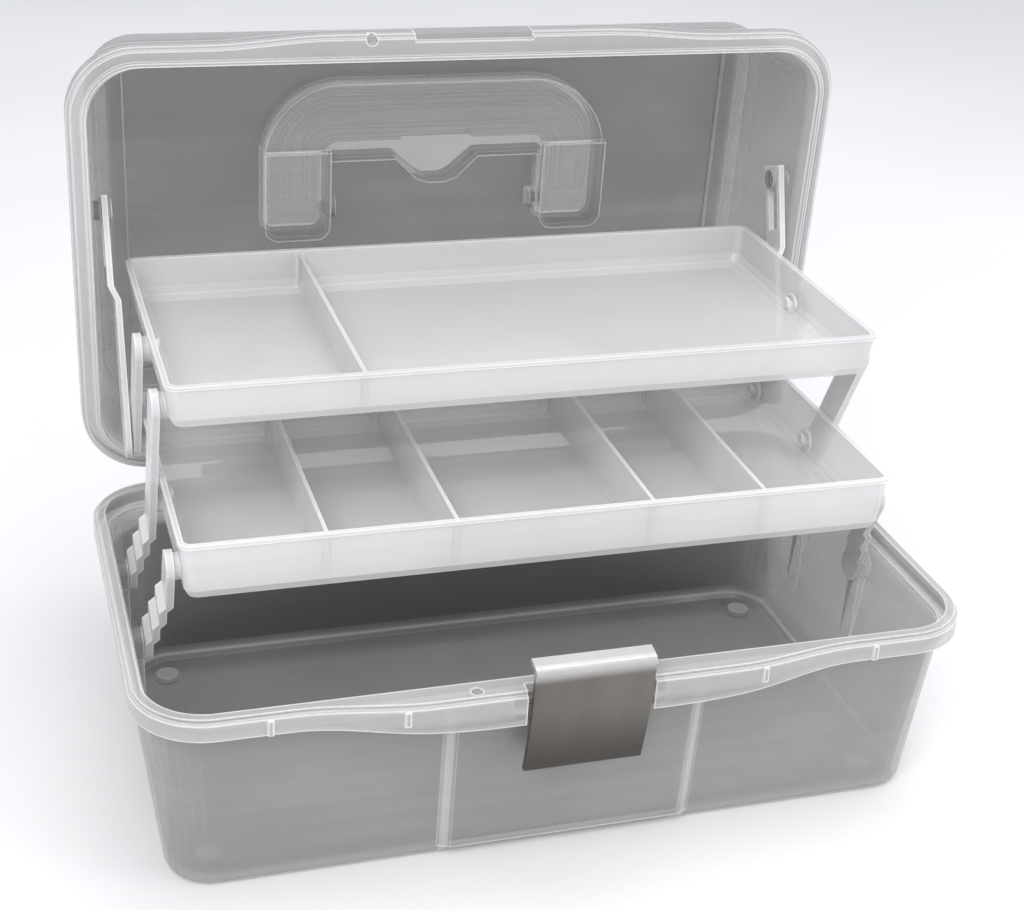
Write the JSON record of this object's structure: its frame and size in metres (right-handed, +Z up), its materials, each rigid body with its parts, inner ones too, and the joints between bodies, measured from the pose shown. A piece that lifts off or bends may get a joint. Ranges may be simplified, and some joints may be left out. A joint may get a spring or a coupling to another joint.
{
  "type": "sewing box with cantilever trays",
  "caption": "Clear plastic work box: hinged lid, two cantilever trays on side arms driven by the lid, folding top handle and a front latch.",
  "frame": {"origin": "centre of the base's flat underside, which it rests on", "axes": "+X across the width, +Y to the rear (hinge side), +Z up; the lid is drawn open"},
  "size_m": [0.33, 0.2594, 0.2768],
  "materials": {
    "clear_shell": "frosted clear polypropylene, smoky grey in thick view",
    "milky_tray": "frosted milky polypropylene",
    "arm_white": "milky polypropylene, satin",
    "handle_clear": "frosted clear polypropylene",
    "latch_grey": "silver-grey satin lacquer",
    "pin_steel": "plain steel wire"
  },
  "bodies": {
    "base": {"base_tub": "clear_shell", "latch_pin": "pin_steel", "hinge_pin_left": "pin_steel", "hinge_pin_right": "pin_steel"},
    "lid": {"lid_shell": "clear_shell"},
    "front_arms": {"front_arm_left": "arm_white", "front_arm_right": "arm_white"},
    "long_arms": {"long_arm_left": "arm_white", "long_arm_right": "arm_white"},
    "lower_tray": {"lower_tray": "milky_tray", "lower_divider_1": "milky_tray", "lower_divider_2": "milky_tray", "lower_divider_3": "milky_tray", "lower_divider_4": "milky_tray"},
    "upper_tray": {"upper_tray": "milky_tray", "upper_divider": "milky_tray"},
    "rear_arms": {"rear_arm_left": "arm_white", "rear_arm_right": "arm_white"},
    "lid_stays": {"lid_stay_left": "arm_white", "lid_stay_right": "arm_white"},
    "handle": {"handle": "handle_clear"},
    "latch": {"latch": "latch_grey"}
  },
  "joints": [
    {"name": "lid_hinge", "type": "hinge", "parent": "base", "child": "lid", "pos_m": [0, 0.0966, 0.084], "axis": [1, 0, 0], "range_deg": [0, 88]},
    {"name": "front_arm_swing", "type": "hinge", "parent": "base", "child": "front_arms", "pos_m": [0, -0.009, 0.066], "axis": [1, 0, 0], "range_deg": [0, 43]},
    {"name": "long_arm_swing", "type": "hinge", "parent": "base", "child": "long_arms", "pos_m": [0, 0.045, 0.066], "axis": [1, 0, 0], "range_deg": [0, 43]},
    {"name": "lower_tray_level", "type": "hinge", "parent": "long_arms", "child": "lower_tray", "pos_m": [0, 0.02395, 0.11135], "axis": [1, 0, 0], "range_deg": [-43, 0]},
    {"name": "upper_tray_level", "type": "hinge", "parent": "long_arms", "child": "upper_tray", "pos_m": [0, -0.00005, 0.16305], "axis": [1, 0, 0], "range_deg": [-43, 0]},
    {"name": "rear_arm_swing", "type": "hinge", "parent": "lower_tray", "child": "rear_arms", "pos_m": [0, 0.07795, 0.11135], "axis": [1, 0, 0], "range_deg": [0, 43]},
    {"name": "stay_swing", "type": "hinge", "parent": "lower_tray", "child": "lid_stays", "pos_m": [0, 0.07795, 0.11135], "axis": [1, 0, 0], "range_deg": [0, 95.1]},
    {"name": "latch_flip", "type": "hinge", "parent": "base", "child": "latch", "pos_m": [0, -0.0963, 0.0745], "axis": [1, 0, 0], "range_deg": [-8, 12]},
    {"name": "handle_fold", "type": "hinge", "parent": "lid", "child": "handle", "pos_m": [0, 0.14969, 0.18552], "axis": [1, 0, 0], "range_deg": [-90, 0]}
  ],
  "couplings": [
    {"joint": "front_arm_swing", "follows": "lid_hinge", "ratio": 0.48864},
    {"joint": "long_arm_swing", "follows": "lid_hinge", "ratio": 0.48864},
    {"joint": "lower_tray_level", "follows": "lid_hinge", "ratio": -0.48864},
    {"joint": "upper_tray_level", "follows": "lid_hinge", "ratio": -0.48864},
    {"joint": "rear_arm_swing", "follows": "lid_hinge", "ratio": 0.48864},
    {"joint": "stay_swing", "follows": "lid_hinge", "ratio": 1.08}
  ]
}
